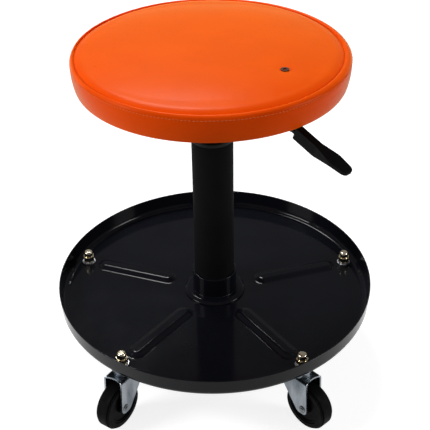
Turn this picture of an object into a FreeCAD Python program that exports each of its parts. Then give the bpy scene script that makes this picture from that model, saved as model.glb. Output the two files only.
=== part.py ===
"""Rolling workshop stool: round padded seat, gas lift column, tool tray and five swivel casters.

The origin is on the floor, on the column's axis, with +Z up and -Y towards the sitter's front.
"""
import FreeCAD
import Part
import math
import os

V = FreeCAD.Vector
UP = V(0, 0, 1)

# Fits and helpers that serve every piece
part_gap = 0.3
seat_fit = 0.05
running_fit = 0.06
soft_gap = 0.1
overrun = 1.0
corner_reach_share = 0.48

# Tool tray, a round pan pressed from sheet steel
tray_radius = 200.0
tray_draft = 1.5
tray_depth = 24.5
tray_sheet = 1.5
tray_bend = 8.0
rib_count = 5
rib_inner_radius = 55.0
rib_to_caster = 15.0
rib_width = 22.0
rib_crest_width = 11.0
rib_height = 4.0
rib_round = 6.5

# Swivel casters on a bolt circle, each with the way that its wheel trails, in degrees
caster_phase = 88.0
caster_headings = (290.0, 70.0, 235.0, 312.5, 112.0)
caster_trail = 14.7
wheel_diameter = 60.0
wheel_width = 19.0
tyre_step = 1.6
tyre_step_width = 2.6
tyre_shoulder = 3.0
core_radius = 22.0
core_rim_wall = 2.6
core_rim_width = 17.0
core_web = 15.0
core_hub_radius = 8.5
axle_radius = 3.5
axle_head_radius = 4.6
axle_head = 1.0
axle_pip_radius = 2.4
axle_pip = 1.0
hub_side_gap = 0.6
fork_sheet = 2.2
fork_bend = 3.4
fork_tip_radius = 7.5
fork_lean = 3.0
fork_back_reach = 21.5
fork_lip_dip = 3.0
fork_shoulder_drop = 12.0
fork_shoulder_radius = 6.0
wheel_top_gap = 9.3
stem_neck_radius = 4.5
stem_head_radius = 7.4
stem_head = 2.4
stem_thread_radius = 4.0
stem_thread_reach = 9.0
ball_diameter = 4.0
ball_circle = 7.8
ball_count = 10
race_radius = 11.8
race_crown_radius = 8.0
race_skirt = 1.6
race_height = 5.9
race_slope = 3.2

# Fasteners on the tray floor
washer_radius = 8.5
washer_sheet = 1.6
washer_to_bend = 1.0
spring_washer_radius = 7.3
spring_washer_sheet = 2.0
spring_washer_slit = 1.5
fastener_hole_gap = 0.3
nut_flats = 13.0
nut_hex_height = 6.5
nut_height = 14.2
nut_dome_radius = 5.7
nut_dome_corner = 4.5
nut_bore_depth = 11.0

# Column socket welded through the tray
hub_radius = 28.0
hub_below_tray = 43.0
hub_above_floor = 32.8
hub_lip = 1.1
collar_radius = 39.0
collar_height = 5.0
collar_round = 5.0
collar_lip = 1.4
collar_shoulder_share = 0.38
collar_crest_share = 0.62
plate_radius = 78.0
plate_sheet = 3.0

# Gas lift column
column_radius = 25.0
column_wall = 2.0
column_foot_radius = 24.2
column_foot_rise = 4.0
column_above_rim = 200.0
column_end_plate = 3.0
bush_length = 70.0
bush_lip_height = 6.0
bush_lip_radius = 25.4
bush_lip_round = 1.8
bush_groove = 0.8
bush_groove_height = 1.2
cylinder_radius = 14.0
cylinder_wall = 2.5
cylinder_tip_radius = 13.2
cylinder_taper = 40.0
lift_drop = 15.0
lift_rise = 105.0
gland_length = 12.0
valve_length = 16.0
rod_radius = 5.0
rod_below_plate = 4.0
rod_past_piston = 2.0
piston_length = 10.0
clip_radius = 9.0
clip_sheet = 1.5
bearing_race = 2.5
bearing_radius = 16.0
bearing_ball = 5.0
bearing_ball_circle = 11.0
bearing_ball_count = 10
buffer_length = 8.0
buffer_radius = 11.5
buffer_round = 2.0
pin_radius = 2.5
pin_proud = 4.5
pin_below_valve = 6.0

# Seat mechanism: pressed pan, tapered socket and lift lever
lever_azimuth = -47.0
socket_radius = 19.0
socket_length = 30.0
socket_clear = 2.8
socket_below_pan = 22.0
pan_length = 120.0
pan_width = 64.0
pan_corner = 10.0
pan_sheet = 2.5
flange_length = 178.0
flange_width = 124.0
flange_corner = 14.0
screw_span = 150.0
screw_spread = 96.0
screw_radius = 3.0
screw_head_flats = 10.0
screw_head = 4.0
screw_length = 14.0
tee_barrel_radius = 4.2
tee_flange_radius = 9.0
tee_flange = 1.2
pivot_radius = 2.5
pivot_reach = 34.0
pivot_end = 2.0
sleeve_radius = 6.0
sleeve_length = 24.0
arm_radius = 4.0
arm_past_pin = 7.0
arm_reach = 128.0
arm_in_grip = 34.0
slot_width = 14.0
slot_above = 6.0
grip_gap = 4.0
grip_slope = 19.0
grip_length = 77.0
grip_root_height = 14.0
grip_root_width = 9.5
grip_block_length = 31.0
grip_wedge_end = 53.5
grip_blade_height = 5.0
grip_tip_height = 3.4
grip_blade_width = 18.5
grip_tip_width = 13.5
grip_edge = 1.4

# Round cushion on a plywood board
seat_radius = 157.6
seat_foot_inset = 3.6
seat_above_tip = 27.7
seat_height = 33.0
seat_flank_height = 14.0
seat_flank_round = 40.0
seat_widest_height = 27.5
shoulder_round = 5.0
foot_round = 3.0
seam_inset = 6.8
crown_height = 6.5
cover_sheet = 1.2
welt_radius = 1.4
hem_inset = 36.0
board_inset = 8.0
board_thickness = 12.0
eyelet_x = 78.0
eyelet_y = -64.0
eyelet_radius = 4.6
eyelet_hole = 2.0
eyelet_barrel = 3.0
eyelet_lip = 0.8
eyelet_depth = 7.0

# Radii that follow from the sizes above
tray_foot_radius = tray_radius - tray_draft
caster_circle = tray_foot_radius - tray_bend - washer_to_bend - washer_radius
rib_outer_radius = caster_circle - rib_to_caster
fork_tip_front = caster_trail + fork_tip_radius
fork_front = fork_tip_front - fork_lean
grip_start = arm_reach + grip_gap
seat_foot_radius = seat_radius - seat_foot_inset
seam_radius = seat_radius - seam_inset
hem_radius = seat_radius - hem_inset
board_radius = seat_radius - board_inset

# Heights that follow from the sizes above
wheel_radius = wheel_diameter / 2
axle_height = wheel_radius
hub_width = core_rim_width + 2 * (wheel_width - core_rim_width)
fork_gap = hub_width + 2 * hub_side_gap
fork_under = wheel_diameter + wheel_top_gap
fork_top = fork_under + fork_sheet
race_under = fork_top + ball_diameter + 2 * running_fit
tray_under = race_under + race_height
tray_floor = tray_under + tray_sheet
tray_rim = tray_under + tray_depth
hub_foot = tray_under - hub_below_tray
hub_top = tray_floor + hub_above_floor
column_foot = hub_foot + column_foot_rise
column_top = tray_rim + column_above_rim
bush_top = column_top + bush_lip_height
race_floor = column_foot + column_end_plate
ball_floor = race_floor + bearing_race
ball_roof = ball_floor + bearing_ball + 2 * running_fit
buffer_floor = ball_roof + bearing_race
buffer_top = buffer_floor + buffer_length
cylinder_foot = buffer_top + part_gap + lift_drop
piston_foot = cylinder_foot + gland_length + lift_rise + part_gap
socket_foot = bush_top + lift_drop + socket_clear
cylinder_top = socket_foot + socket_length
cylinder_bore = cylinder_radius - cylinder_wall
pin_top = cylinder_top + pin_proud
lever_height = pin_top + part_gap + arm_radius
seat_foot = cylinder_top + seat_above_tip
seam_height = seat_foot + seat_height
board_under = seat_foot + cover_sheet + soft_gap
pan_floor = socket_foot + socket_below_pan
dome_rise = seam_radius ** 2 + crown_height ** 2
dome_radius = dome_rise / (2 * crown_height)


def upright(across, height):
    """A point of the XZ plane."""
    return V(across, 0, height)


def flat(across, along):
    """A point of the XY plane."""
    return V(across, along, 0)


def sideways(along, height):
    """A point of the YZ plane."""
    return V(0, along, height)


def rounded(corners, plane):
    """Closed wire through (a, b, radius) corners, each corner a tangent arc."""
    points = [plane(a, b) for a, b, _ in corners]
    count = len(points)
    arcs = []
    for index, (_, _, radius) in enumerate(corners):
        here = points[index]
        back = points[index - 1].sub(here)
        ahead = points[(index + 1) % count].sub(here)
        half = back.getAngle(ahead) / 2
        limit = corner_reach_share * min(back.Length, ahead.Length)
        reach = min(radius / math.tan(half), limit)
        back.normalize()
        ahead.normalize()
        start = here + back * reach
        end = here + ahead * reach
        middle = here
        if reach:
            turn = reach * math.tan(half)
            inward = back + ahead
            inward.normalize()
            middle = here + inward * (turn / math.sin(half) - turn)
        arcs.append((start, middle, end))
    edges = []
    for index, (start, middle, end) in enumerate(arcs):
        if start != end:
            edges.append(Part.Arc(start, middle, end).toShape())
        edges.append(Part.LineSegment(end, arcs[(index + 1) % count][0]).toShape())
    return Part.Wire(edges)


def turned(corners):
    """Solid of revolution about Z from (radius, height, corner) points."""
    return Part.Face(rounded(corners, upright)).revolve(V(0, 0, 0), UP, 360)


def turned_edges(edges):
    """Solid of revolution about Z from a closed chain of edges in the XZ plane."""
    return Part.Face(Part.Wire(edges)).revolve(V(0, 0, 0), UP, 360)


def prism(corners, plane, start, depth):
    """Rounded outline moved to start and pushed along depth."""
    face = Part.Face(rounded(corners, plane))
    face.translate(start)
    return face.extrude(depth)


def disc(radius, low, high):
    """Cylinder on the Z axis between two heights."""
    return Part.makeCylinder(radius, high - low, V(0, 0, low))


def ring(outer, inner, low, high):
    """Plain washer on the Z axis."""
    return disc(outer, low, high).cut(disc(inner, low - overrun, high + overrun))


def cross_pin(radius, half_length):
    """Cylinder along Y through the origin."""
    return Part.makeCylinder(radius, 2 * half_length, V(0, -half_length, 0), V(0, 1, 0))


def hexagon(flats, low, high):
    """Hexagonal prism on the Z axis, given its size across flats."""
    reach = flats / math.sqrt(3)
    spokes = [math.radians(60 * side) for side in range(6)]
    corners = [(reach * math.cos(a), reach * math.sin(a), 0) for a in spokes]
    return prism(corners, flat, V(0, 0, low), V(0, 0, high - low))


def box_corners(length, width, corner):
    """Corners of a rounded rectangle about the origin."""
    x = length / 2
    y = width / 2
    return [(-x, -y, corner), (x, -y, corner), (x, y, corner), (-x, y, corner)]


def moved(shape, angle, x, y):
    """Copy turned about Z and shifted in plan."""
    copy = shape.copy()
    copy.rotate(V(0, 0, 0), UP, angle)
    copy.translate(V(x, y, 0))
    return copy


def around(shape, count, radius, phase):
    """Copies of a shape on a circle about Z."""
    copies = []
    for index in range(count):
        angle = phase + index * 360 / count
        x = radius * math.cos(math.radians(angle))
        y = radius * math.sin(math.radians(angle))
        copies.append(moved(shape, angle, x, y))
    return copies


def caster_group(shape):
    """One copy of a shape at every caster, as a group."""
    return Part.makeCompound(around(shape, len(caster_headings), caster_circle, caster_phase))


def stadium(length, width, height):
    """Slot outline in plan along X, with half round ends made of two arcs each."""
    x = length / 2 - width / 2
    y = width / 2
    diagonal = y / math.sqrt(2)
    edges = [
        Part.LineSegment(V(-x, -y, height), V(x, -y, height)),
        Part.Arc(V(x, -y, height), V(x + diagonal, -diagonal, height), V(x + y, 0, height)),
        Part.Arc(V(x + y, 0, height), V(x + diagonal, diagonal, height), V(x, y, height)),
        Part.LineSegment(V(x, y, height), V(-x, y, height)),
        Part.Arc(V(-x, y, height), V(-x - diagonal, diagonal, height), V(-x - y, 0, height)),
        Part.Arc(V(-x - y, 0, height), V(-x - diagonal, -diagonal, height), V(-x, -y, height)),
    ]
    return Part.Wire([edge.toShape() for edge in edges])


def tray_rib():
    """Raised rib as a tapered slot that stands on the tray floor."""
    length = rib_outer_radius - rib_inner_radius
    narrowing = rib_width - rib_crest_width
    foot = stadium(length, rib_width, tray_floor)
    crest = stadium(length - narrowing, rib_crest_width, tray_floor + rib_height)
    return Part.makeLoft([foot, crest], True, True)


def rib_edges(ribbed):
    """Edges round the foot and the crest of every rib."""
    picked = []
    for edge in ribbed.Edges:
        box = edge.BoundBox
        across = math.hypot(box.Center.x, box.Center.y)
        level = box.ZMax - box.ZMin < seat_fit and box.ZMin > tray_floor - seat_fit
        if level and hub_radius < across < rib_outer_radius + overrun:
            picked.append(edge)
    return picked


def tray():
    """Pan with an upright rim, radial ribs, a socket hole and stem holes."""
    inner_bend = tray_bend - tray_sheet
    rim_round = tray_sheet / 2
    bore = hub_radius + seat_fit
    pan = turned([
        (bore, tray_under, 0),
        (tray_foot_radius, tray_under, tray_bend),
        (tray_radius, tray_rim, rim_round),
        (tray_radius - tray_sheet, tray_rim, rim_round),
        (tray_foot_radius - tray_sheet, tray_floor, inner_bend),
        (bore, tray_floor, 0),
    ])
    middle = (rib_inner_radius + rib_outer_radius) / 2
    hole = disc(stem_thread_radius + fastener_hole_gap, tray_under - overrun, tray_floor + overrun)
    ribs = around(tray_rib(), rib_count, middle, caster_phase)
    hollow = tray_rib()
    hollow.translate(V(0, 0, -tray_sheet))
    hollows = around(hollow, rib_count, middle, caster_phase)
    holes = around(hole, len(caster_headings), caster_circle, caster_phase)
    ribbed = pan.fuse(ribs).removeSplitter()
    return ribbed.makeFillet(rib_round, rib_edges(ribbed)).cut(hollows + holes)


def column_edge(height, growth):
    """Outside radius of the column's tapered foot at a height, grown by a fit."""
    share = (height - column_foot) / (hub_top - column_foot)
    return column_foot_radius + (column_radius - column_foot_radius) * share + growth


def hub_socket():
    """Thick tube with a tapered bore that grips the column's foot."""
    return turned([
        (column_edge(hub_foot, seat_fit), hub_foot, 0),
        (hub_radius, hub_foot, hub_lip),
        (hub_radius, hub_top, hub_lip),
        (column_edge(hub_top, seat_fit), hub_top, 0),
    ])


def hub_collar():
    """Rounded ring on the tray floor, with a raised lip against the socket."""
    bore = hub_radius + seat_fit
    lip = bore + collar_lip
    crest = bore + (collar_radius - bore) * collar_crest_share
    shoulder = tray_floor + collar_height * collar_shoulder_share
    collar_top = tray_floor + collar_height
    return turned([
        (bore, tray_floor, 0),
        (collar_radius, tray_floor, 0),
        (collar_radius, shoulder, collar_round),
        (crest, collar_top, collar_round),
        (lip, collar_top, 0),
        (lip, collar_top + collar_lip, collar_lip),
        (bore, collar_top + collar_lip, 0),
    ])


def hub_plate():
    """Round stiffening plate welded under the tray."""
    return ring(plate_radius, hub_radius + seat_fit, tray_under - plate_sheet, tray_under)


def column_tube():
    """Outer tube with a tapered foot and a closed bottom end."""
    bore = column_radius - column_wall
    foot_bore = column_foot_radius - column_wall
    shelf = column_foot + column_end_plate
    hole = rod_radius + part_gap
    return turned([
        (hole, column_foot, 0),
        (column_foot_radius, column_foot, 0),
        (column_radius, hub_top, 0),
        (column_radius, column_top, 0),
        (bore, column_top, 0),
        (bore, hub_top, 0),
        (foot_bore, shelf, 0),
        (hole, shelf, 0),
    ])


def guide_bush():
    """Plastic sleeve in the mouth of the tube, with a grooved lip over its edge."""
    bore = cylinder_radius + running_fit
    skirt = column_radius - column_wall - seat_fit
    groove_top = column_top + bush_groove_height
    return turned([
        (bore, column_top - bush_length, 0),
        (skirt, column_top - bush_length, bush_lip_round),
        (skirt, column_top, 0),
        (column_radius - bush_groove, column_top, 0),
        (column_radius - bush_groove, groove_top, 0),
        (bush_lip_radius, groove_top, 0),
        (bush_lip_radius, bush_top, bush_lip_round),
        (bore, bush_top, bush_lip_round),
    ])


def bearing_lower_race():
    """Race that lies on the tube's closed end."""
    return ring(bearing_radius, rod_radius + part_gap, race_floor, ball_floor)


def bearing_upper_race():
    """Race that turns with the rod."""
    return ring(bearing_radius, rod_radius + seat_fit, ball_roof, buffer_floor)


def bearing_balls():
    """Balls between the two races."""
    middle = ball_floor + running_fit + bearing_ball / 2
    ball = Part.makeSphere(bearing_ball / 2, V(0, 0, middle))
    return Part.makeCompound(around(ball, bearing_ball_count, bearing_ball_circle, 0))


def rod_buffer():
    """Rubber stop under the cylinder."""
    return turned([
        (rod_radius + seat_fit, buffer_floor, 0),
        (buffer_radius, buffer_floor, 0),
        (buffer_radius, buffer_top, buffer_round),
        (rod_radius + seat_fit, buffer_top, 0),
    ])


def piston_rod():
    """Polished rod, held in the tube's closed end."""
    return disc(rod_radius, column_foot - rod_below_plate, piston_foot + piston_length + rod_past_piston)


def rod_clip():
    """Spring clip that holds the rod under the closed end."""
    top = column_foot - part_gap
    clip = ring(clip_radius, rod_radius + seat_fit, top - clip_sheet, top)
    mouth = Part.makeBox(clip_radius + overrun, rod_radius, clip_sheet + 2 * overrun)
    mouth.translate(V(0, -rod_radius / 2, top - clip_sheet - overrun))
    return clip.cut(mouth)


def piston_head():
    """Piston inside the cylinder."""
    return ring(cylinder_bore - running_fit, rod_radius + seat_fit, piston_foot, piston_foot + piston_length)


def cylinder_edge(height, growth):
    """Outside radius of the cylinder's tapered tip at a height, grown by a fit."""
    share = (height - cylinder_top + cylinder_taper) / cylinder_taper
    return cylinder_radius + (cylinder_tip_radius - cylinder_radius) * share + growth


def gas_cylinder():
    """Pressure tube that carries the seat, with a tapered tip."""
    return turned([
        (cylinder_bore, cylinder_foot, 0),
        (cylinder_radius, cylinder_foot, 0),
        (cylinder_radius, cylinder_top - cylinder_taper, 0),
        (cylinder_tip_radius, cylinder_top, 0),
        (cylinder_bore, cylinder_top, 0),
    ])


def rod_gland():
    """Seal block in the cylinder's lower end."""
    plug = cylinder_bore - seat_fit
    return ring(plug, rod_radius + running_fit, cylinder_foot, cylinder_foot + gland_length)


def valve_block():
    """Valve body in the cylinder's upper end."""
    plug = cylinder_bore - seat_fit
    return ring(plug, pin_radius + running_fit, cylinder_top - valve_length, cylinder_top)


def release_pin():
    """Valve pin that the lever presses down."""
    foot = cylinder_top - valve_length - pin_below_valve
    return turned([
        (0, foot, 0),
        (pin_radius, foot, 0),
        (pin_radius, pin_top, pin_radius),
        (0, pin_top, 0),
    ])


def seat_socket():
    """Tapered steel socket, welded into the pan, that sits on the cylinder's tip."""
    return turned([
        (cylinder_edge(socket_foot, seat_fit), socket_foot, 0),
        (socket_radius, socket_foot, hub_lip),
        (socket_radius, cylinder_top, 0),
        (cylinder_edge(cylinder_top, seat_fit), cylinder_top, 0),
    ])


def screw_places():
    """Plan places of the four seat screws, in the pan's own direction."""
    x = screw_span / 2
    y = screw_spread / 2
    return [(-x, -y), (x, -y), (x, y), (-x, y)]


def screw_group(shape):
    """One copy of a shape at every seat screw, turned with the lever."""
    copies = [moved(moved(shape, 0, x, y), lever_azimuth, 0, 0) for x, y in screw_places()]
    return Part.makeCompound(copies)


def mechanism_pan():
    """Pressed pan with a flange under the board, a lever slot and pivot holes."""
    flange_low = board_under - pan_sheet
    depth = V(0, 0, board_under - pan_floor)
    shell = prism(box_corners(pan_length, pan_width, pan_corner), flat, V(0, 0, pan_floor), depth)
    flange_outline = box_corners(flange_length, flange_width, flange_corner)
    flange = prism(flange_outline, flat, V(0, 0, flange_low), V(0, 0, pan_sheet))
    inner_length = pan_length - 2 * pan_sheet
    inner_width = pan_width - 2 * pan_sheet
    inner_outline = box_corners(inner_length, inner_width, pan_corner - pan_sheet)
    hollow = prism(inner_outline, flat, V(0, 0, pan_floor + pan_sheet), depth)
    bore = disc(socket_radius + seat_fit, pan_floor - overrun, pan_floor + pan_sheet + overrun)
    slot_low = lever_height - arm_radius - part_gap
    slot_high = lever_height + arm_radius + slot_above
    slot = Part.makeBox(pan_length, slot_width, slot_high - slot_low, V(0, -slot_width / 2, slot_low))
    pivot = cross_pin(pivot_radius + seat_fit, pan_width)
    pivot.translate(V(pivot_reach, 0, lever_height))
    hole = disc(screw_radius + part_gap, flange_low - overrun, board_under + overrun)
    holes = [moved(hole, 0, x, y) for x, y in screw_places()]
    pan = shell.fuse(flange).cut([hollow, bore, slot, pivot] + holes).removeSplitter()
    return moved(pan, lever_azimuth, 0, 0)


def seat_screws():
    """Hexagon screws up through the flange into the board."""
    flange_low = board_under - pan_sheet
    head = hexagon(screw_head_flats, flange_low - screw_head, flange_low)
    shank = disc(screw_radius, flange_low - screw_head / 2, flange_low + screw_length)
    return screw_group(head.fuse(shank).removeSplitter())


def tee_nuts():
    """Tee nuts let into the board from above."""
    top = board_under + board_thickness
    low = board_under + pan_sheet
    barrel = disc(tee_barrel_radius, low, top)
    plate = disc(tee_flange_radius, top - tee_flange, top)
    bore = disc(screw_radius + seat_fit, low - overrun, top + overrun)
    return screw_group(barrel.fuse(plate).cut(bore).removeSplitter())


def lever_pivot():
    """Cross pin through the pan's walls."""
    pin = cross_pin(pivot_radius, pan_width / 2 + pivot_end)
    pin.translate(V(pivot_reach, 0, lever_height))
    return moved(pin, lever_azimuth, 0, 0)


def sloped(shape):
    """Copy of a grip piece tipped down from the lever's bend."""
    copy = shape.copy()
    copy.rotate(V(0, 0, 0), V(0, 1, 0), grip_slope)
    copy.translate(V(arm_reach, 0, lever_height))
    return copy


def arm_end():
    """Straight end of the rod that the grip is pushed on to."""
    return Part.makeCylinder(arm_radius, arm_in_grip, V(0, 0, 0), V(1, 0, 0))


def lever_arm():
    """Bent rod with a pivot sleeve, reaching from the valve pin to the grip."""
    start = V(-arm_past_pin, 0, lever_height)
    rod = Part.makeCylinder(arm_radius, arm_reach + arm_past_pin, start, V(1, 0, 0))
    bend = Part.makeSphere(arm_radius, V(arm_reach, 0, lever_height))
    sleeve = cross_pin(sleeve_radius, sleeve_length / 2)
    bore = cross_pin(pivot_radius + running_fit, sleeve_length)
    for piece in (sleeve, bore):
        piece.translate(V(pivot_reach, 0, lever_height))
    arm = rod.fuse([bend, sloped(arm_end()), sleeve]).cut(bore).removeSplitter()
    return moved(arm, lever_azimuth, 0, 0)


def lever_grip():
    """Moulded paddle: a deep block at the root that thins to a broad blade."""
    start = grip_start - arm_reach
    end = start + grip_length
    top = grip_root_height / 2
    block_end = start + grip_block_length
    wedge_end = start + grip_wedge_end
    side = [
        (start, -top, grip_edge),
        (block_end, -top, grip_root_height),
        (wedge_end, top - grip_blade_height, grip_root_height),
        (end, top - grip_tip_height, grip_edge),
        (end, top, grip_edge),
        (start, top, grip_edge),
    ]
    root = grip_root_width / 2
    blade = grip_blade_width / 2
    tip = grip_tip_width / 2
    plan = [
        (start, -root, grip_edge),
        (block_end, -root, grip_blade_width),
        (wedge_end, -blade, grip_blade_width),
        (end, -tip, tip),
        (end, tip, tip),
        (wedge_end, blade, grip_blade_width),
        (block_end, root, grip_blade_width),
        (start, root, grip_edge),
    ]
    width = V(0, 2 * grip_blade_width, 0)
    height = V(0, 0, 2 * grip_root_height)
    body = prism(side, upright, V(0, -grip_blade_width, 0), width)
    body = body.common(prism(plan, flat, V(0, 0, -grip_root_height), height))
    return moved(sloped(body.cut(arm_end())), lever_azimuth, 0, 0)


def dome_height(radius, drop):
    """Height of the crowned panel at a radius, lowered by a drop."""
    centre = seam_height + crown_height - dome_radius
    return centre + math.sqrt(dome_radius ** 2 - radius ** 2) - drop


def dome_arc(radius, drop):
    """Crown from a radius in to the axis."""
    points = [upright(r, dome_height(r, drop)) for r in (radius, radius / 2, 0)]
    return Part.Arc(*points).toShape()


def line(start, end):
    """Straight edge between two points."""
    return Part.LineSegment(start, end).toShape()


def eyelet_hole_tool():
    """Hole for the vent eyelet's barrel through the panel and into the foam."""
    top = seam_height + crown_height
    hole = disc(eyelet_barrel + seat_fit, top - eyelet_depth - crown_height, top)
    return moved(hole, 0, eyelet_x, eyelet_y)


def cover_top():
    """Crowned top panel of the cover."""
    low_centre = upright(0, dome_height(0, cover_sheet))
    low_edge = upright(seam_radius, dome_height(seam_radius, cover_sheet))
    under = dome_arc(seam_radius, cover_sheet)
    edge = line(low_edge, upright(seam_radius, seam_height))
    axis = line(low_centre, upright(0, dome_height(0, 0)))
    panel = turned_edges([edge, dome_arc(seam_radius, 0), axis, under])
    return panel.cut(eyelet_hole_tool())


def seam_welt():
    """Thin piping sewn into the seam between the panel and the band."""
    circle = seam_radius + welt_radius + soft_gap
    return Part.makeTorus(circle, welt_radius, V(0, 0, seam_height - cover_sheet / 2))


def band_side(inset):
    """Foot, flank, shoulder and top of the drawn-in side, moved in by an inset."""
    top_radius = seam_radius + 2 * welt_radius + soft_gap
    top = seam_height - cover_sheet / 2 - welt_radius - soft_gap
    flank_radius = (seat_foot_radius + seat_radius * 2) / 3
    return [
        (seat_foot_radius - inset, seat_foot + inset, foot_round - inset),
        (flank_radius - inset, seat_foot + seat_flank_height, seat_flank_round - inset),
        (seat_radius - inset, seat_foot + seat_widest_height, shoulder_round - inset),
        (top_radius - inset, top, 0),
    ]


def cover_band():
    """Side band, drawn in to a hem that is folded under the board."""
    inside = list(reversed(band_side(cover_sheet)))
    hem = [(hem_radius, seat_foot + cover_sheet, 0), (hem_radius, seat_foot, 0)]
    return turned(band_side(0) + inside + hem)


def under_crown(drop):
    """Everything under the crowned panel, lowered by a drop."""
    floor = upright(0, seat_foot)
    rim = upright(seat_radius, dome_height(seat_radius, drop))
    foot = upright(seat_radius, seat_foot)
    peak = upright(0, dome_height(0, drop))
    return turned_edges([line(floor, foot), line(foot, rim), dome_arc(seat_radius, drop), line(peak, floor)])


def seat_foam():
    """Foam pad over the board and round its edge, cut away round the eyelet."""
    side = band_side(cover_sheet + soft_gap)
    foot_height = side[0][1]
    board_top = board_under + board_thickness + soft_gap
    wrap = board_radius + soft_gap
    high = seam_height + crown_height
    block = turned([
        (0, board_top, 0),
        (wrap, board_top, 0),
        (wrap, foot_height, 0),
    ] + side + [(side[-1][0], high, 0), (0, high, 0)])
    return block.common(under_crown(welt_radius + cover_sheet)).cut(eyelet_hole_tool())


def seat_board():
    """Round plywood board with holes for the tee nuts."""
    board = disc(board_radius, board_under, board_under + board_thickness)
    top = board_under + board_thickness
    hole = disc(tee_barrel_radius + seat_fit, board_under - overrun, top + overrun)
    recess = disc(tee_flange_radius + seat_fit, top - tee_flange, top + overrun)
    return board.cut(screw_group(hole.fuse(recess)))


def vent_eyelet():
    """Small metal eyelet that lets air out of the cushion."""
    reach = math.hypot(eyelet_x, eyelet_y)
    seat = dome_height(reach - eyelet_radius, 0)
    ring_top = ring(eyelet_radius, eyelet_hole, seat, seat + eyelet_lip)
    barrel = ring(eyelet_barrel, eyelet_hole, seat - eyelet_depth + eyelet_lip, seat + eyelet_lip)
    return moved(ring_top.fuse(barrel).removeSplitter(), 0, eyelet_x, eyelet_y)


def caster_stem():
    """Shouldered stud: a peened head under the fork and a thread through the tray."""
    head_top = fork_under - part_gap
    return turned([
        (0, head_top - stem_head, 0),
        (stem_head_radius, head_top - stem_head, stem_head / 2),
        (stem_head_radius, head_top, 0),
        (stem_neck_radius, head_top, 0),
        (stem_neck_radius, tray_under, 0),
        (stem_thread_radius, tray_under, 0),
        (stem_thread_radius, tray_floor + washer_sheet + spring_washer_sheet + stem_thread_reach, 0),
        (0, tray_floor + washer_sheet + spring_washer_sheet + stem_thread_reach, 0),
    ])


def caster_top_race():
    """Pressed upper race with a skirt over the balls."""
    bore = stem_neck_radius + seat_fit
    skirt_low = fork_top + part_gap + running_fit
    return turned([
        (bore, race_under, 0),
        (race_radius - race_skirt, race_under, 0),
        (race_radius - race_skirt, skirt_low, 0),
        (race_radius, skirt_low, 0),
        (race_radius, tray_under - race_slope, race_skirt),
        (race_crown_radius, tray_under, race_skirt),
        (bore, tray_under, 0),
    ])


def caster_balls():
    """Ball ring between a fork and its upper race."""
    middle = fork_top + running_fit + ball_diameter / 2
    ball = Part.makeSphere(ball_diameter / 2, V(0, 0, middle))
    return Part.makeCompound(around(ball, ball_count, ball_circle, 0))


def flat_washer():
    """Plain washer on the tray floor."""
    return ring(washer_radius, stem_thread_radius + fastener_hole_gap, tray_floor, tray_floor + washer_sheet)


def spring_washer():
    """Split spring washer under the nut."""
    low = tray_floor + washer_sheet
    high = low + spring_washer_sheet
    washer = ring(spring_washer_radius, stem_thread_radius + fastener_hole_gap, low, high)
    size = V(spring_washer_radius + overrun, spring_washer_slit, high - low + 2 * overrun)
    corner = V(0, -spring_washer_slit / 2, low - overrun)
    return washer.cut(Part.makeBox(size.x, size.y, size.z, corner))


def dome_nut():
    """Acorn nut with a blind bore."""
    low = tray_floor + washer_sheet + spring_washer_sheet
    shoulder = low + nut_hex_height
    cap = turned([
        (0, low, 0),
        (nut_dome_radius, low, 0),
        (nut_dome_radius, low + nut_height, nut_dome_corner),
        (0, low + nut_height, 0),
    ])
    bore = disc(stem_thread_radius + seat_fit, low - overrun, low + nut_bore_depth)
    return hexagon(nut_flats, low, shoulder).fuse(cap).cut(bore).removeSplitter()


def caster_fork():
    """Stamped fork: a bent channel trimmed to a tapering side outline."""
    inner = fork_gap / 2
    outer = inner + fork_sheet
    tip = axle_height - fork_tip_radius
    back = -fork_back_reach
    channel = [
        (-outer, tip, 0),
        (-inner, tip, 0),
        (-inner, fork_under, fork_bend - fork_sheet),
        (inner, fork_under, fork_bend - fork_sheet),
        (inner, tip, 0),
        (outer, tip, 0),
        (outer, fork_top, fork_bend),
        (-outer, fork_top, fork_bend),
    ]
    side = [
        (back, fork_top, fork_sheet),
        (back, fork_top - fork_shoulder_drop, fork_shoulder_radius),
        (caster_trail - fork_tip_radius, tip, fork_tip_radius),
        (fork_tip_front, tip, fork_tip_radius),
        (fork_front, fork_top, fork_sheet),
    ]
    bent = prism(channel, sideways, V(back, 0, 0), V(fork_tip_front - back, 0, 0))
    outline = prism(side, upright, V(0, -outer, 0), V(0, 2 * outer, 0))
    lip_radius = (inner ** 2 + fork_lip_dip ** 2) / (2 * fork_lip_dip)
    lip = disc(lip_radius, fork_under - overrun, fork_top + overrun)
    lip.translate(V(fork_front - fork_lip_dip + lip_radius, 0, 0))
    stem_hole = disc(stem_neck_radius + part_gap, fork_under - overrun, fork_top + overrun)
    axle_hole = cross_pin(axle_radius + seat_fit, outer + overrun)
    axle_hole.translate(V(caster_trail, 0, axle_height))
    return bent.common(outline).cut([lip, stem_hole, axle_hole]).removeSplitter()


def on_axle(shape):
    """Copy laid from the Z axis on to the caster's axle."""
    copy = shape.copy()
    copy.rotate(V(0, 0, 0), V(1, 0, 0), 90)
    copy.translate(V(caster_trail, 0, axle_height))
    return copy


def caster_axle():
    """Rivet through the fork, with a flat head and a pip at each end."""
    outside = fork_gap / 2 + fork_sheet
    head = outside + axle_head
    end = head + axle_pip
    return on_axle(turned([
        (0, -end, 0),
        (axle_pip_radius, -end, axle_pip),
        (axle_pip_radius, -head, 0),
        (axle_head_radius, -head, axle_head / 2),
        (axle_head_radius, -outside, 0),
        (axle_radius, -outside, 0),
        (axle_radius, outside, 0),
        (axle_head_radius, outside, 0),
        (axle_head_radius, head, axle_head / 2),
        (axle_pip_radius, head, 0),
        (axle_pip_radius, end, axle_pip),
        (0, end, 0),
    ]))


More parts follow.
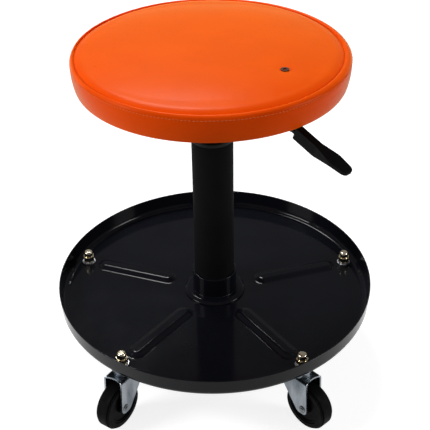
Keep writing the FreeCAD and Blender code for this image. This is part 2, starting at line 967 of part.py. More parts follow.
def wheel_core():
    """Moulded wheel body with a hub, a web and a rim."""
    bore = axle_radius + running_fit
    hub = hub_width / 2
    web = core_web / 2
    rim = core_rim_width / 2
    inside = core_radius - core_rim_wall
    return on_axle(turned([
        (bore, -hub, 0),
        (core_hub_radius, -hub, 0),
        (core_hub_radius, -web, 0),
        (inside, -web, 0),
        (inside, -rim, 0),
        (core_radius, -rim, 0),
        (core_radius, rim, 0),
        (inside, rim, 0),
        (inside, web, 0),
        (core_hub_radius, web, 0),
        (core_hub_radius, hub, 0),
        (bore, hub, 0),
    ]))


def wheel_tyre():
    """Solid tyre with a stepped tread."""
    bore = core_radius + seat_fit
    side = wheel_width / 2
    tread = side - tyre_step_width
    step = wheel_radius - tyre_step
    return on_axle(turned([
        (bore, -side, 0),
        (step, -side, tyre_step),
        (step, -tread, 0),
        (wheel_radius, -tread, tyre_shoulder),
        (wheel_radius, tread, tyre_shoulder),
        (step, tread, 0),
        (step, side, tyre_step),
        (bore, side, 0),
    ]))


def caster_pieces():
    """Fork, axle, wheel and tyre of every caster, each turned to its heading."""
    pieces = {}
    shapes = {
        "caster_fork": caster_fork(),
        "caster_axle": caster_axle(),
        "wheel_core": wheel_core(),
        "wheel_tyre": wheel_tyre(),
    }
    for index, heading in enumerate(caster_headings):
        angle = math.radians(caster_phase + index * 360 / len(caster_headings))
        x = caster_circle * math.cos(angle)
        y = caster_circle * math.sin(angle)
        for name, shape in shapes.items():
            pieces[f"{name}_{index + 1}"] = moved(shape, heading, x, y)
    return pieces


def caster_ball_group():
    """Ball rings of all the casters."""
    return Part.makeCompound(caster_group(caster_balls()).Solids)


def fixed_pieces():
    """Every piece that occurs once, and the groups of like fasteners."""
    return {
        "tray": tray(),
        "hub_socket": hub_socket(),
        "hub_collar": hub_collar(),
        "hub_plate": hub_plate(),
        "column_tube": column_tube(),
        "guide_bush": guide_bush(),
        "bearing_lower_race": bearing_lower_race(),
        "bearing_upper_race": bearing_upper_race(),
        "bearing_balls": bearing_balls(),
        "rod_buffer": rod_buffer(),
        "piston_rod": piston_rod(),
        "rod_clip": rod_clip(),
        "piston_head": piston_head(),
        "gas_cylinder": gas_cylinder(),
        "rod_gland": rod_gland(),
        "valve_block": valve_block(),
        "release_pin": release_pin(),
        "seat_socket": seat_socket(),
        "mechanism_pan": mechanism_pan(),
        "seat_screws": seat_screws(),
        "tee_nuts": tee_nuts(),
        "lever_pivot": lever_pivot(),
        "lever_arm": lever_arm(),
        "lever_grip": lever_grip(),
        "seat_board": seat_board(),
        "seat_foam": seat_foam(),
        "cover_top": cover_top(),
        "cover_band": cover_band(),
        "seam_welt": seam_welt(),
        "vent_eyelet": vent_eyelet(),
        "caster_stems": caster_group(caster_stem()),
        "caster_top_races": caster_group(caster_top_race()),
        "caster_balls": caster_ball_group(),
        "flat_washers": caster_group(flat_washer()),
        "spring_washers": caster_group(spring_washer()),
        "dome_nuts": caster_group(dome_nut()),
    }


os.makedirs("parts", exist_ok=True)
for node, shape in {**fixed_pieces(), **caster_pieces()}.items():
    shape.exportStep(f"parts/{node}.step")
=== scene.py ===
"""Looks of the rolling workshop stool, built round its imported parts, from the floor up to the seat."""
import math

import bpy
import numpy as np
from mathutils import Matrix, Vector


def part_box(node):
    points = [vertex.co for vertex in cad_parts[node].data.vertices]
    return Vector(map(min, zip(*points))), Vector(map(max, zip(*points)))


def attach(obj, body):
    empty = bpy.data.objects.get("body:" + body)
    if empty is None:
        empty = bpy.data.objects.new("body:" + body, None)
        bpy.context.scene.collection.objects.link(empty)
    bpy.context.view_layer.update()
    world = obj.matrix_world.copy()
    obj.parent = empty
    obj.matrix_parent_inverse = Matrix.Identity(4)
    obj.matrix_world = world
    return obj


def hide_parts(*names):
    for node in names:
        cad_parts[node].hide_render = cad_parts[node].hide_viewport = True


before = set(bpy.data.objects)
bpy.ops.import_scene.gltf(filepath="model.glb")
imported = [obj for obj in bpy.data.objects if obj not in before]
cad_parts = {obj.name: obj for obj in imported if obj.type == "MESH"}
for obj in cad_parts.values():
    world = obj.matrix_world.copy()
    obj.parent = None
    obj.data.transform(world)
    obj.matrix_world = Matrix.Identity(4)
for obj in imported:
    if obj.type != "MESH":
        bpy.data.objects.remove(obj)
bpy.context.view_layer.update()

# Tool tray: a pan drawn from sheet steel, dipped in gloss black enamel and baked.
# The coat flows into a faint orange peel, and dulls a little where tools slide about.
ENAMEL_BLACK = (0.0052, 0.0056, 0.0082)
ENAMEL_PEEL_MM = 5.0
MM_PER_METRE = 1000.0
NOISE_LOW, NOISE_HIGH = 0.3, 0.7


def new_finish(name, colour, roughness, metallic=0.0, specular=0.5):
    """Material with one Principled shader, its even values set on the shader's own sockets."""
    finish = bpy.data.materials.new(name)
    finish.use_nodes = True
    sockets = finish.node_tree.nodes["Principled BSDF"].inputs
    sockets["Base Color"].default_value = (*colour, 1.0)
    sockets["Roughness"].default_value = roughness
    sockets["Metallic"].default_value = metallic
    sockets["Specular IOR Level"].default_value = specular
    return finish


def add_node(finish, kind, **values):
    """Node in a finish, with its inputs and properties set by name."""
    node = finish.node_tree.nodes.new(kind)
    for key, value in values.items():
        if key in node.inputs:
            node.inputs[key].default_value = value
        else:
            setattr(node, key, value)
    return node


def object_coords(finish, stretch):
    """Object coordinates, stretched along the axes."""
    coords = add_node(finish, "ShaderNodeTexCoord")
    mapping = add_node(finish, "ShaderNodeMapping", Scale=stretch)
    finish.node_tree.links.new(coords.outputs["Object"], mapping.inputs["Vector"])
    return mapping.outputs["Vector"]


def mottle(finish, size_mm, detail=3.0, stretch=(1.0, 1.0, 1.0)):
    """Noise whose blotches are about size_mm across."""
    noise = add_node(finish, "ShaderNodeTexNoise", Scale=MM_PER_METRE / size_mm, Detail=detail)
    finish.node_tree.links.new(object_coords(finish, stretch), noise.inputs["Vector"])
    return noise.outputs["Fac"]


def pebble(finish, size_mm, feature="F1"):
    """Voronoi cells about size_mm across, as the distance from each cell's centre or edge."""
    cells = add_node(finish, "ShaderNodeTexVoronoi", feature=feature, Scale=MM_PER_METRE / size_mm)
    finish.node_tree.links.new(object_coords(finish, (1.0, 1.0, 1.0)), cells.inputs["Vector"])
    return cells.outputs["Distance"]


def remap(tree, value, start, end, low, high):
    """Socket that goes from low to high as a value goes from start to end."""
    span = tree.nodes.new("ShaderNodeMapRange")
    for name, level in (("From Min", start), ("From Max", end), ("To Min", low), ("To Max", high)):
        span.inputs[name].default_value = level
    tree.links.new(value, span.inputs["Value"])
    return span.outputs["Result"]


def vary_gloss(finish, pattern, low, high):
    """Roughness from low to high by a pattern."""
    tree = finish.node_tree
    roughness = remap(tree, pattern, NOISE_LOW, NOISE_HIGH, low, high)
    tree.links.new(roughness, tree.nodes["Principled BSDF"].inputs["Roughness"])


def tint(finish, pattern, dark, light, start=0.35, end=0.65):
    """Colour between two tones by a pattern."""
    ramp = add_node(finish, "ShaderNodeValToRGB")
    first, last = ramp.color_ramp.elements
    first.position, last.position = start, end
    first.color, last.color = (*dark, 1.0), (*light, 1.0)
    finish.node_tree.links.new(pattern, ramp.inputs["Fac"])
    shader = finish.node_tree.nodes["Principled BSDF"]
    finish.node_tree.links.new(ramp.outputs["Color"], shader.inputs["Base Color"])


def emboss(finish, pattern, height_mm, strength=1.0):
    """Surface raised by a pattern, height_mm at most, over any grain that it already has."""
    links = finish.node_tree.links
    normal = finish.node_tree.nodes["Principled BSDF"].inputs["Normal"]
    bump = add_node(finish, "ShaderNodeBump", Strength=strength, Distance=height_mm / MM_PER_METRE)
    if normal.is_linked:
        links.new(normal.links[0].from_socket, bump.inputs["Normal"])
    links.new(pattern, bump.inputs["Height"])
    links.new(bump.outputs["Normal"], normal)


def dress(finish, *nodes):
    """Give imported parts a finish."""
    for node in nodes:
        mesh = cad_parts[node].data
        mesh.materials.clear()
        mesh.materials.append(finish)


enamel = new_finish("gloss_enamel", ENAMEL_BLACK, roughness=0.12, specular=0.13)
vary_gloss(enamel, mottle(enamel, size_mm=38.0), low=0.08, high=0.15)
tint(enamel, mottle(enamel, size_mm=60.0), dark=(0.0046, 0.0050, 0.0074), light=(0.0058, 0.0062, 0.0090))
emboss(enamel, mottle(enamel, size_mm=ENAMEL_PEEL_MM, detail=1.0), height_mm=0.012)
dress(enamel, "tray", "hub_collar", "hub_socket", "hub_plate")

# Column: a drawn steel tube with a satin powder coat, its mouth closed by a moulded nylon guide.
# The gas cylinder that slides in it has the same coat, and the coat has a fine even grain.
COAT_GRAIN_MM = 0.7
powder = new_finish("satin_powder_coat", (0.0085, 0.0085, 0.0092), roughness=0.6, specular=0.01)
vary_gloss(powder, mottle(powder, size_mm=22.0), low=0.55, high=0.65)
tint(powder, mottle(powder, size_mm=45.0), dark=(0.0077, 0.0077, 0.0084), light=(0.0093, 0.0093, 0.0100))
emboss(powder, mottle(powder, size_mm=COAT_GRAIN_MM, detail=1.0), height_mm=0.03, strength=0.5)
dress(powder, "column_tube", "gas_cylinder", "mechanism_pan", "seat_socket")

nylon = new_finish("moulded_nylon", (0.004, 0.004, 0.004), roughness=0.46, specular=0.12)
vary_gloss(nylon, mottle(nylon, size_mm=9.0), low=0.38, high=0.54)
emboss(nylon, pebble(nylon, size_mm=0.5), height_mm=0.02, strength=0.4)
dress(nylon, "guide_bush")

# Lift parts inside the column: ground and plated steel, a chromed rod and a rubber stop.
# They turn and slide on each other, so the steel carries fine turning marks.
ground = new_finish("ground_steel", (0.60, 0.60, 0.61), roughness=0.3, metallic=1.0)
vary_gloss(ground, mottle(ground, size_mm=1.2, stretch=(0.2, 0.2, 4.0)), low=0.22, high=0.4)
emboss(ground, mottle(ground, size_mm=0.6, stretch=(0.2, 0.2, 4.0)), height_mm=0.01, strength=0.4)
dress(ground, "bearing_lower_race", "bearing_upper_race", "bearing_balls", "rod_clip", "piston_head")
dress(ground, "rod_gland", "valve_block", "release_pin", "caster_balls")

chrome = new_finish("chromed_rod", (0.76, 0.76, 0.78), roughness=0.08, metallic=1.0)
vary_gloss(chrome, mottle(chrome, size_mm=14.0), low=0.05, high=0.12)
dress(chrome, "piston_rod")

# Wheels: a moulded plastic body with a solid rubber tyre pressed over it.
# The rubber is dull black with a dusty bloom, and its moulded skin is slightly pitted.
rubber = new_finish("solid_rubber", (0.0024, 0.0024, 0.0026), roughness=0.62, specular=0.05)
vary_gloss(rubber, mottle(rubber, size_mm=7.0), low=0.52, high=0.72)
tint(rubber, mottle(rubber, size_mm=12.0), dark=(0.0017, 0.0017, 0.0019), light=(0.0033, 0.0033, 0.0035))
emboss(rubber, mottle(rubber, size_mm=1.1), height_mm=0.06, strength=0.5)
dress(rubber, "rod_buffer", *(f"wheel_tyre_{n}" for n in range(1, 6)))

moulded = new_finish("wheel_plastic", (0.0014, 0.0014, 0.0016), roughness=0.5, specular=0.03)
vary_gloss(moulded, mottle(moulded, size_mm=6.0), low=0.38, high=0.55)
emboss(moulded, pebble(moulded, size_mm=0.6), height_mm=0.02, strength=0.4)
dress(moulded, *(f"wheel_core_{n}" for n in range(1, 6)))

# Caster forks and races: stamped steel with bright bluish zinc plate.
# The plate has a cloudy spangle, and drawing marks run down the cheeks.
ZINC_PALE = (0.29, 0.32, 0.345)
ZINC_DEEP = (0.125, 0.145, 0.168)
fork_zinc = new_finish("blue_zinc_plate", ZINC_PALE, roughness=0.28, metallic=1.0)
spangle = mottle(fork_zinc, size_mm=16.0, detail=2.0, stretch=(1.0, 1.0, 0.4))
tint(fork_zinc, spangle, dark=ZINC_DEEP, light=ZINC_PALE)
vary_gloss(fork_zinc, mottle(fork_zinc, size_mm=2.2, stretch=(1.0, 1.0, 0.2)), low=0.2, high=0.4)
emboss(fork_zinc, mottle(fork_zinc, size_mm=1.6, stretch=(1.0, 1.0, 0.15)), height_mm=0.02, strength=0.4)
dress(fork_zinc, "caster_top_races", *(f"caster_fork_{n}" for n in range(1, 6)))

zinc = new_finish("bright_zinc_plate", (0.64, 0.65, 0.67), roughness=0.26, metallic=1.0)
tint(zinc, mottle(zinc, size_mm=4.0), dark=(0.50, 0.51, 0.54), light=(0.70, 0.71, 0.72))
vary_gloss(zinc, mottle(zinc, size_mm=1.5), low=0.18, high=0.36)
dress(zinc, "caster_stems", "flat_washers", "spring_washers", "seat_screws", "tee_nuts", "lever_pivot")

dull_zinc = new_finish("dull_zinc_rivet", (0.16, 0.17, 0.18), roughness=0.42, metallic=1.0)
tint(dull_zinc, mottle(dull_zinc, size_mm=3.0), dark=(0.09, 0.10, 0.11), light=(0.24, 0.25, 0.26))
vary_gloss(dull_zinc, mottle(dull_zinc, size_mm=1.2), low=0.34, high=0.52)
dress(dull_zinc, *(f"caster_axle_{n}" for n in range(1, 6)))

# Cap nuts: turned steel with pale yellow plate, one over each caster stem.
# The plate is bright on the domes and cloudy on the flats.
nut_plate = new_finish("pale_yellow_plate", (0.74, 0.66, 0.48), roughness=0.16, metallic=1.0)
tint(nut_plate, mottle(nut_plate, size_mm=3.0), dark=(0.60, 0.52, 0.36), light=(0.78, 0.71, 0.56))
vary_gloss(nut_plate, mottle(nut_plate, size_mm=1.4), low=0.1, high=0.26)
dress(nut_plate, "dome_nuts")

# Lift lever: a bent rod with a black oxide skin and a moulded paddle pushed over its end.
# The paddle has the fine spark texture of its mould.
oxide = new_finish("black_oxide", (0.014, 0.014, 0.015), roughness=0.35, metallic=1.0)
vary_gloss(oxide, mottle(oxide, size_mm=3.0), low=0.28, high=0.45)
dress(oxide, "lever_arm")

paddle = new_finish("paddle_plastic", (0.0022, 0.0022, 0.0025), roughness=0.44, specular=0.06)
vary_gloss(paddle, mottle(paddle, size_mm=5.0), low=0.38, high=0.52)
emboss(paddle, pebble(paddle, size_mm=0.45), height_mm=0.03, strength=0.45)
dress(paddle, "lever_grip")

# Seat board: raw birch plywood, seen only from below inside the stapled hem.
# The grain runs across the board in long streaks.
birch = new_finish("birch_plywood", (0.50, 0.36, 0.21), roughness=0.6)
streaks = mottle(birch, size_mm=9.0, detail=6.0, stretch=(0.08, 1.0, 1.0))
tint(birch, streaks, dark=(0.40, 0.27, 0.145), light=(0.60, 0.45, 0.28))
emboss(birch, mottle(birch, size_mm=2.0, detail=4.0, stretch=(0.06, 1.0, 1.0)), height_mm=0.08, strength=0.4)
dress(birch, "seat_board")

# Cushion: orange grained vinyl stretched over a foam pad and pulled under the board.
# A round panel is sewn to a side band, the seam allowance is folded into a thin welt below the panel's rolled
# edge, and a row of topstitching holds it down on the band.
VINYL_ORANGE = (0.89, 0.070, 0.0012)
panel_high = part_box("cover_top")[1]
band_low, band_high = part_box("cover_band")
board_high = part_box("seat_board")[1]
welt_low, welt_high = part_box("seam_welt")
eyelet_low, eyelet_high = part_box("vent_eyelet")
SEAM_RADIUS = panel_high.x
SEAM_Z = (welt_low.z + welt_high.z) / 2
CROWN = panel_high.z - SEAM_Z
SWELL = 0.0022
CROWN_POWER = 3.2
ROLL_DEPTH = 0.0031
ROLL_START = 0.93
PANEL_SHIFT = -0.0024
GRID_HALF = 48
GRID_CROWDING = 1.5
TINY = 1e-9
HELD_SHARE = 0.975
FOAM_PRESSURE = 4.0
CLOTH_STEPS = 20
PUCKER = 0.00016
PUCKER_POWER = 30
PUCKER_REACH = 0.0064
PUCKER_DEPTH = 0.012
PUCKER_LIFT = 0.5
PUCKER_LAG = 11
SEAM_DRIFT = 0.0003
DIMPLE = 0.0007
DIMPLE_REACH = 0.008
SHOULDER_MM = np.array([
    [-6.4, -3.3], [-6.2, -2.2], [-5.4, -1.2], [-4.4, -0.9], [-3.0, -1.4], [-1.6, -2.5], [-0.7, -3.9],
    [-0.35, -4.8], [-0.45, -5.4], [-0.2, -6.1], [0.0, -9.0], [-0.3, -16.0], [-1.2, -23.0], [-2.4, -29.0],
    [-3.3, -31.6]])
FOOT_TURN_MM = np.array([[-0.8, 0.4], [-2.6, 0.0]])
BAND_ROWS = 64
SEAM_TO_STITCH = 0.0054
HEM_WIDTH = 0.036
HEM_START = 0.142
HEM_ROUND = 0.0006
BOARD_CLEAR = 0.0002
BOARD_MIDDLE = 0.02
eyelet_place = (eyelet_low + eyelet_high) / 2


def disc_grid(half):
    """Square grid bent into a disc without a pole: the larger of |u| and |v| becomes the share of the radius,
    and the smaller divided by the larger becomes the angle within each quarter."""
    line = np.linspace(-1, 1, 2 * half + 1)
    u, v = np.meshgrid(line, line)
    share = np.maximum(abs(u), abs(v))
    wide = abs(u) >= abs(v)
    over = np.where(share > 0, share, 1)
    beside = math.pi / 4 * v / over * np.sign(u)
    ahead = math.pi / 2 - math.pi / 4 * u / over * np.sign(v)
    angle = np.where(wide, beside, ahead)
    angle = angle + np.where(np.where(wide, u, v) < 0, math.pi, 0)
    return share.ravel(), np.mod(angle.ravel() + TINY, 2 * math.pi)


def grid_faces(side):
    """Quads of a square grid with side points along each edge."""
    place = np.arange(side * side).reshape(side, side)
    return np.stack([place[:-1, :-1], place[:-1, 1:], place[1:, 1:], place[1:, :-1]], axis=-1).reshape(-1, 4)


def add_piece(name, points, faces, finish):
    """Mesh object at the origin, smooth shaded, in one finish."""
    mesh = bpy.data.meshes.new(name)
    mesh.from_pydata(points.tolist(), [], faces)
    mesh.polygons.foreach_set("use_smooth", np.ones(len(mesh.polygons), dtype=bool))
    mesh.materials.append(finish)
    piece = bpy.data.objects.new(name, mesh)
    bpy.context.scene.collection.objects.link(piece)
    return piece


def smooth_path(points, samples):
    """Catmull-Rom curve through a short list of points: each span is the cubic whose end slopes lie along the
    chords between the neighbouring points."""
    points = np.asarray(points, dtype=float)
    longer = np.concatenate([2 * points[:1] - points[1:2], points, 2 * points[-1:] - points[-2:-1]])
    place = np.linspace(0, len(points) - 1 - TINY, samples)
    index = place.astype(int)
    t = (place - index)[:, None]
    a, b, c, d = (longer[index + k] for k in range(4))
    return 0.5 * (2 * b + (c - a) * t + (2 * a - 5 * b + 4 * c - d) * t ** 2
                  + (3 * b - a - 3 * c + d) * t ** 3)


def waviness(angle, count, reach, seed):
    """Sum of sines round the seat, with seeded phases, about 1 high."""
    draw = np.random.default_rng(seed)
    waves = draw.integers(reach[0], reach[1], count)
    phases = draw.uniform(0, 2 * math.pi, count)
    return np.sin(angle[:, None] * waves + phases).sum(1) / math.sqrt(count)


def seam_pucker(angle):
    """Uneven pull of the seam round the seat: fine puckers between stitches, on a slow drift of the seam."""
    puckers = waviness(angle, count=9, reach=(40, 150), seed=3)
    drift = waviness(angle, count=5, reach=(2, 9), seed=5)
    return PUCKER * puckers + SEAM_DRIFT * drift


def panel_points(share, angle):
    """Crowned panel before it swells: a dome, nearly flat on top, that rolls over just inside the seam."""
    radius = SEAM_RADIUS * share + seam_pucker(angle) * share ** PUCKER_POWER
    roll = np.clip((share - ROLL_START) / (1 - ROLL_START), 0, 1) ** 2
    height = SEAM_Z + (CROWN - SWELL) * (1 - share ** CROWN_POWER) - ROLL_DEPTH * roll
    return np.stack([radius * np.cos(angle) + PANEL_SHIFT, radius * np.sin(angle), height], axis=-1)


def swollen(points, faces, share, finish):
    """Lift of each point after the panel, held along its seam, is blown up as cloth by the foam's pressure.
    The lift is scaled so that the highest point rises by SWELL."""
    sheet = add_piece("panel_sheet", points, faces, finish)
    held = sheet.vertex_groups.new(name="held")
    held.add(np.flatnonzero(share > HELD_SHARE).tolist(), 1.0, "REPLACE")
    cloth = sheet.modifiers.new("cloth", "CLOTH")
    cloth.settings.vertex_group_mass = "held"
    cloth.settings.use_pressure = True
    cloth.settings.uniform_pressure_force = FOAM_PRESSURE
    cloth.settings.effector_weights.gravity = 0.0
    for step in range(1, CLOTH_STEPS + 1):
        bpy.context.scene.frame_set(step)
    after = sheet.evaluated_get(bpy.context.evaluated_depsgraph_get()).data
    moved = np.empty(len(after.vertices) * 3)
    after.vertices.foreach_get("co", moved)
    lift = np.clip(moved.reshape(-1, 3)[:, 2] - points[:, 2], 0, None)
    bpy.data.objects.remove(sheet)
    bpy.context.scene.frame_set(1)
    return SWELL * lift / lift.max()


def band_profile():
    """Rows of radius and height outwards from the seam: up over the folded edge, round the shoulder, in at
    the topstitching, down the drawn-in side, under the board to the hem, and back over the board to near the
    middle."""
    foot = band_low.z
    shoulder = SHOULDER_MM / MM_PER_METRE + np.array([band_high.x, SEAM_Z])
    turn = FOOT_TURN_MM / MM_PER_METRE + np.array([shoulder[-1, 0], foot])
    hem_end = band_high.x - HEM_WIDTH
    fold_top = foot + 2 * HEM_ROUND
    hem = np.array([[HEM_START, foot], [hem_end + HEM_ROUND, foot], [hem_end, foot + HEM_ROUND],
                    [hem_end + HEM_ROUND, fold_top]])
    wall = board_high.x + BOARD_CLEAR
    over = board_high.z + BOARD_CLEAR
    inside = np.array([[wall, fold_top], [wall, over], [BOARD_MIDDLE, over]])
    return np.concatenate([smooth_path(np.concatenate([shoulder, turn]), BAND_ROWS), hem, inside])


def cushion_shape(finish):
    """Closed form: the swollen panel's disc, joined along its edge to the turned rows of the band."""
    share, angle = disc_grid(GRID_HALF)
    share = 1 - (1 - share) ** GRID_CROWDING
    faces = grid_faces(2 * GRID_HALF + 1)
    panel = panel_points(share, angle)
    panel[:, 2] += swollen(panel, faces.tolist(), share, finish)
    apart = np.hypot(panel[:, 0] - eyelet_place.x, panel[:, 1] - eyelet_place.y)
    panel[:, 2] -= DIMPLE * np.exp(-(apart / DIMPLE_REACH) ** 2)

    edge = np.flatnonzero(share > 1 - TINY)
    edge = edge[np.argsort(angle[edge])]
    turn = angle[edge]
    rows = band_profile()
    fade = np.clip((band_high.x - rows[:, :1]) / PUCKER_REACH, 0, 1) * (rows[:, 1:] > SEAM_Z - PUCKER_DEPTH)
    radius = rows[:, :1] + fade * seam_pucker(turn)
    height = rows[:, 1:] + PUCKER_LIFT * fade * np.roll(seam_pucker(turn), PUCKER_LAG)
    band = np.stack([radius * np.cos(turn) + PANEL_SHIFT * fade, radius * np.sin(turn), height], axis=-1)

    count = len(turn)
    turned = len(panel) + np.arange(len(rows) * count).reshape(len(rows), count)
    ring = np.concatenate([edge[None, :], turned])
    ahead = np.roll(ring, -1, axis=1)
    quads = np.stack([ring[:-1], ring[1:], ahead[1:], ahead[:-1]], axis=-1).reshape(-1, 4)
    middle = np.array([[0.0, 0.0, rows[-1, 1]]])
    points = np.concatenate([panel, band.reshape(-1, 3), middle])
    fan = np.stack([np.full(count, len(points) - 1), ahead[-1], ring[-1]], axis=-1)
    return points, faces.tolist() + quads.tolist() + fan.tolist()


vinyl = new_finish("grained_vinyl", VINYL_ORANGE, roughness=0.30, specular=0.055)
tint(vinyl, mottle(vinyl, size_mm=55.0, detail=4.0), dark=(0.86, 0.065, 0.0010), light=(0.91, 0.075, 0.0014))
vary_gloss(vinyl, mottle(vinyl, size_mm=3.0), low=0.27, high=0.34)
sockets = vinyl.node_tree.nodes["Principled BSDF"].inputs
sockets["Specular Tint"].default_value = (1.0, 0.7, 0.35, 1.0)
sockets["Sheen Weight"].default_value = 0.7
sockets["Sheen Roughness"].default_value = 0.4
sockets["Sheen Tint"].default_value = (1.0, 0.52, 0.03, 1.0)
emboss(vinyl, pebble(vinyl, size_mm=1.3, feature="DISTANCE_TO_EDGE"), height_mm=0.05, strength=0.35)
emboss(vinyl, mottle(vinyl, size_mm=0.5), height_mm=0.03, strength=0.3)

cushion = add_piece("seat_cushion", *cushion_shape(vinyl), vinyl)
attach(cushion, "seat")
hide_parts("seat_foam", "cover_top", "cover_band", "seam_welt")

# Topstitching: one row of heavy orange thread round the band, just below the welt.
# Each stitch stands proud in the middle and dives into the vinyl at its ends.
THREAD_ORANGE = (0.82, 0.15, 0.02)
STITCH_COUNT = 246
STITCH_SHARE = 0.78
THREAD_RADIUS = 0.00042
THREAD_SUNK = 0.35
TUBE_SIDES = 6
STITCH_STRAY = 0.00015
STITCH_INSET = 0.0004
stitch_z = SEAM_Z - SEAM_TO_STITCH
stitch_circle = band_high.x - STITCH_INSET


def tube_runs(centres, side, normal, thick):
    """Many short tubes at once: a ring of points round each path point, thick along its side and normal, with
    flat ends. The side is the path's direction crossed with the normal."""
    around = np.linspace(0, 2 * math.pi, TUBE_SIDES, endpoint=False)[:, None]
    ring = np.cos(around) * side[:, :, None, :] + np.sin(around) * normal[:, :, None, :]
    points = centres[:, :, None, :] + thick[None, :, None, None] * ring
    place = np.arange(points[..., 0].size).reshape(points.shape[:3])
    beside = np.roll(place, -1, axis=2)
    sides = np.stack([place[:, :-1], place[:, 1:], beside[:, 1:], beside[:, :-1]], axis=-1).reshape(-1, 4)
    caps = np.concatenate([place[:, 0], place[:, -1, ::-1]])
    return points.reshape(-1, 3), sides.tolist() + caps.tolist()


def stitch_row():
    """Stitches along a circle: each path bows outwards by a half sine, and the thread thins at both ends."""
    draw = np.random.default_rng(21)
    along = np.linspace(-0.5, 0.5, 5)
    bow = np.cos(along * math.pi)
    pitch = 2 * math.pi / STITCH_COUNT
    jump = draw.uniform(-STITCH_STRAY, STITCH_STRAY, STITCH_COUNT)
    angle = pitch * (np.arange(STITCH_COUNT)[:, None] + along * STITCH_SHARE)
    outward = np.stack([np.cos(angle), np.sin(angle), 0 * angle], axis=-1)
    upward = np.broadcast_to([0.0, 0.0, 1.0], outward.shape)
    radius = stitch_circle + THREAD_RADIUS * (bow - THREAD_SUNK)
    centres = radius[None, :, None] * outward + (stitch_z + jump)[:, None, None] * upward
    return tube_runs(centres, outward, upward, THREAD_RADIUS * (THREAD_SUNK + (1 - THREAD_SUNK) * bow))


thread = new_finish("orange_thread", THREAD_ORANGE, roughness=0.6)
tint(thread, mottle(thread, size_mm=0.8), dark=(0.70, 0.11, 0.012), light=(0.88, 0.19, 0.03))
emboss(thread, mottle(thread, size_mm=0.25), height_mm=0.05, strength=0.6)
topstitching = add_piece("topstitching", *stitch_row(), thread)
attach(topstitching, "seat")

# Hem staples: zinc plated steel wire shot through the folded hem into the board, about 18 mm apart.
# Each crown lies along the hem, a little askew.
STAPLE_COUNT = 44
STAPLE_CIRCLE = 0.1275
STAPLE_WIRE = 0.00045
STAPLE_DRIFT = 0.18
STAPLE_STRAY = 0.0012
STAPLE_ASKEW = 0.22
STAPLE_ALONG_MM = np.array([-5.0, -5.0, -4.7, 4.7, 5.0, 5.0])
STAPLE_RISE_MM = np.array([1.6, 0.2, -0.15, -0.15, 0.2, 1.6])
STAPLE_LEAN = np.array([-1.0, -0.9, -0.4, 0.4, 0.9, 1.0])


def staple_ring():
    """Square arches of wire: two legs go up into the board, and the crown runs straight between them."""
    draw = np.random.default_rng(7)
    drift = draw.uniform(-STAPLE_DRIFT, STAPLE_DRIFT, STAPLE_COUNT)
    angle = (np.arange(STAPLE_COUNT) + drift) * 2 * math.pi / STAPLE_COUNT
    reach = STAPLE_CIRCLE + draw.uniform(-STAPLE_STRAY, STAPLE_STRAY, STAPLE_COUNT)
    heading = angle + math.pi / 2 + draw.uniform(-STAPLE_ASKEW, STAPLE_ASKEW, STAPLE_COUNT)
    along = STAPLE_ALONG_MM / MM_PER_METRE
    rise = STAPLE_RISE_MM / MM_PER_METRE
    lean = STAPLE_LEAN[None, :, None]
    run = np.stack([np.cos(heading), np.sin(heading), 0 * heading], axis=-1)[:, None, :]
    across = np.stack([-np.sin(heading), np.cos(heading), 0 * heading], axis=-1)[:, None, :] + 0 * lean
    down = np.array([0.0, 0.0, -1.0])
    spot = np.stack([reach * np.cos(angle), reach * np.sin(angle), band_low.z + 0 * angle], axis=-1)
    spot = spot[:, None, :]
    centres = spot + along[None, :, None] * run - rise[None, :, None] * down
    normal = lean * run + np.sqrt(1 - lean ** 2) * down
    return tube_runs(centres, across, normal, np.full(len(along), STAPLE_WIRE))


hem_staples = add_piece("hem_staples", *staple_ring(), zinc)
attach(hem_staples, "seat")

# Vent eyelet: a small dark plated metal ring that lets the foam breathe.
# It is pressed through the top panel and sits in a shallow dimple of the vinyl.
bronze = new_finish("dark_eyelet", (0.10, 0.055, 0.04), roughness=0.35, metallic=1.0)
vary_gloss(bronze, mottle(bronze, size_mm=1.2), low=0.25, high=0.5)
dress(bronze, "vent_eyelet")

# Stage: a pale floor, a white surround and soft lamps at both sides and above.
# The camera stands where the photograph was taken from.
FLOOR_REACH = 4.0
FLOOR_GREY = (0.45, 0.45, 0.45)
FLOOR_NEAR, FLOOR_FAR = 0.8, 2.6
FLOOR_GLOW = 0.84
SURROUND_LIGHT = 0.3
HORIZON_TOP = 0.2
CEILING = 0.24


def larger(tree, first, second):
    """Socket with the larger of two values."""
    node = tree.nodes.new("ShaderNodeMath")
    node.operation = "MAXIMUM"
    tree.links.new(first, node.inputs[0])
    tree.links.new(second, node.inputs[1])
    return node.outputs[0]


def seen_level(tree, lit, seen):
    """Socket with one strength as light, and another to the camera, in reflections and through glass."""
    rays = tree.nodes.new("ShaderNodeLightPath").outputs
    bounced = larger(tree, rays["Is Glossy Ray"], rays["Is Transmission Ray"])
    shown = larger(tree, rays["Is Camera Ray"], bounced)
    return remap(tree, shown, 0.0, 1.0, lit, seen)


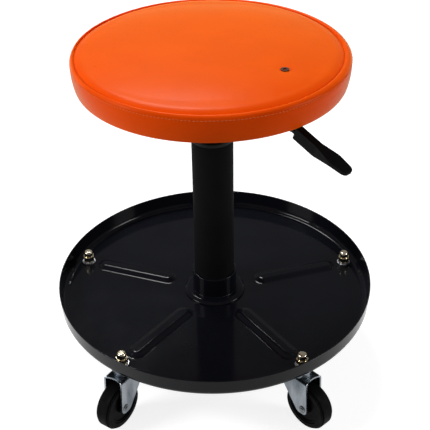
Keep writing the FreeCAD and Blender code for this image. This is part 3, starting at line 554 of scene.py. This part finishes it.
def pale_floor():
    """Pale floor that keeps the stool's shadow, reads as white to the camera and in reflections, and further
    out pales to the white of the surround."""
    finish = new_finish("pale_floor", FLOOR_GREY, roughness=0.9, specular=0.0)
    tree = finish.node_tree
    shader = tree.nodes["Principled BSDF"]
    shader.inputs["Emission Color"].default_value = (1.0, 1.0, 1.0, 1.0)
    apart = add_node(finish, "ShaderNodeVectorMath", operation="LENGTH")
    tree.links.new(add_node(finish, "ShaderNodeTexCoord").outputs["Object"], apart.inputs[0])
    level = add_node(finish, "ShaderNodeMath", operation="MULTIPLY")
    glow = remap(tree, apart.outputs["Value"], FLOOR_NEAR, FLOOR_FAR, FLOOR_GLOW, 1.0)
    tree.links.new(glow, level.inputs[0])
    tree.links.new(seen_level(tree, 0.0, 1.0), level.inputs[1])
    tree.links.new(level.outputs[0], shader.inputs["Emission Strength"])
    points = FLOOR_REACH * np.array([[-1, -1, 0], [1, -1, 0], [1, 1, 0], [-1, 1, 0]])
    return add_piece("floor", points, [(0, 1, 2, 3)], finish)


pale_floor()


def white_surround():
    """World that is white to the camera and in reflections, and a dim grey as light. Reflections and
    light find it white round the horizon and grey overhead, like a studio under its ceiling."""
    world = bpy.data.worlds.new("surround")
    world.use_nodes = True
    tree = world.node_tree
    sky = tree.nodes["Background"].inputs
    tree.links.new(seen_level(tree, SURROUND_LIGHT, 1.0), sky["Strength"])
    coords = tree.nodes.new("ShaderNodeTexCoord")
    heights = tree.nodes.new("ShaderNodeSeparateXYZ")
    tree.links.new(coords.outputs["Generated"], heights.inputs[0])
    fall = remap(tree, heights.outputs["Z"], 0.0, HORIZON_TOP, 1.0, CEILING)
    rays = tree.nodes.new("ShaderNodeLightPath").outputs
    tree.links.new(larger(tree, fall, rays["Is Camera Ray"]), sky["Color"])
    bpy.context.scene.world = world


white_surround()


def soft_lamp(name, place, aim, width, height, watts):
    """Rectangular lamp that faces a point."""
    lamp = bpy.data.lights.new(name, "AREA")
    lamp.shape = "RECTANGLE"
    lamp.size = width
    lamp.size_y = height
    lamp.energy = watts
    holder = bpy.data.objects.new(name, lamp)
    holder.location = place
    holder.rotation_euler = (Vector(aim) - Vector(place)).to_track_quat("-Z", "Y").to_euler()
    bpy.context.scene.collection.objects.link(holder)


soft_lamp("left_lamp", place=(-1.48, -0.45, 1.05), aim=(0.0, 0.0, 0.3), width=0.6, height=0.7, watts=18.0)
soft_lamp("right_lamp", place=(1.52, -0.4, 0.95), aim=(0.0, 0.0, 0.3), width=0.5, height=0.7, watts=12.0)
soft_lamp("top_lamp", place=(-0.3, 1.12, 1.92), aim=(0.0, 0.0, 0.4), width=0.7, height=0.5, watts=28.0)

CAMERA_PLACE = Vector((0.0, -1.004, 0.87452))
CAMERA_PITCH = math.radians(34.0)
CAMERA_YAW = math.radians(0.1)
CAMERA_ROLL = math.radians(-0.95)
FOCAL_PIXELS = 975.0
PHOTO_PIXELS = 430.0
SENSOR_MM = 36.0

reach = math.cos(CAMERA_PITCH)
forward = Vector((math.sin(CAMERA_YAW) * reach, math.cos(CAMERA_YAW) * reach, -math.sin(CAMERA_PITCH)))
level_right = Vector((math.cos(CAMERA_YAW), -math.sin(CAMERA_YAW), 0.0))
level_up = level_right.cross(forward)
right = math.cos(CAMERA_ROLL) * level_right + math.sin(CAMERA_ROLL) * level_up
up = math.cos(CAMERA_ROLL) * level_up - math.sin(CAMERA_ROLL) * level_right
lens = bpy.data.cameras.new("camera")
lens.sensor_width = SENSOR_MM
lens.lens = SENSOR_MM * FOCAL_PIXELS / PHOTO_PIXELS
camera = bpy.data.objects.new("camera", lens)
camera.location = CAMERA_PLACE
camera.rotation_euler = Matrix((right, up, -forward)).transposed().to_euler()
bpy.context.scene.collection.objects.link(camera)
bpy.context.scene.camera = camera
bpy.context.scene.view_settings.view_transform = "Standard"
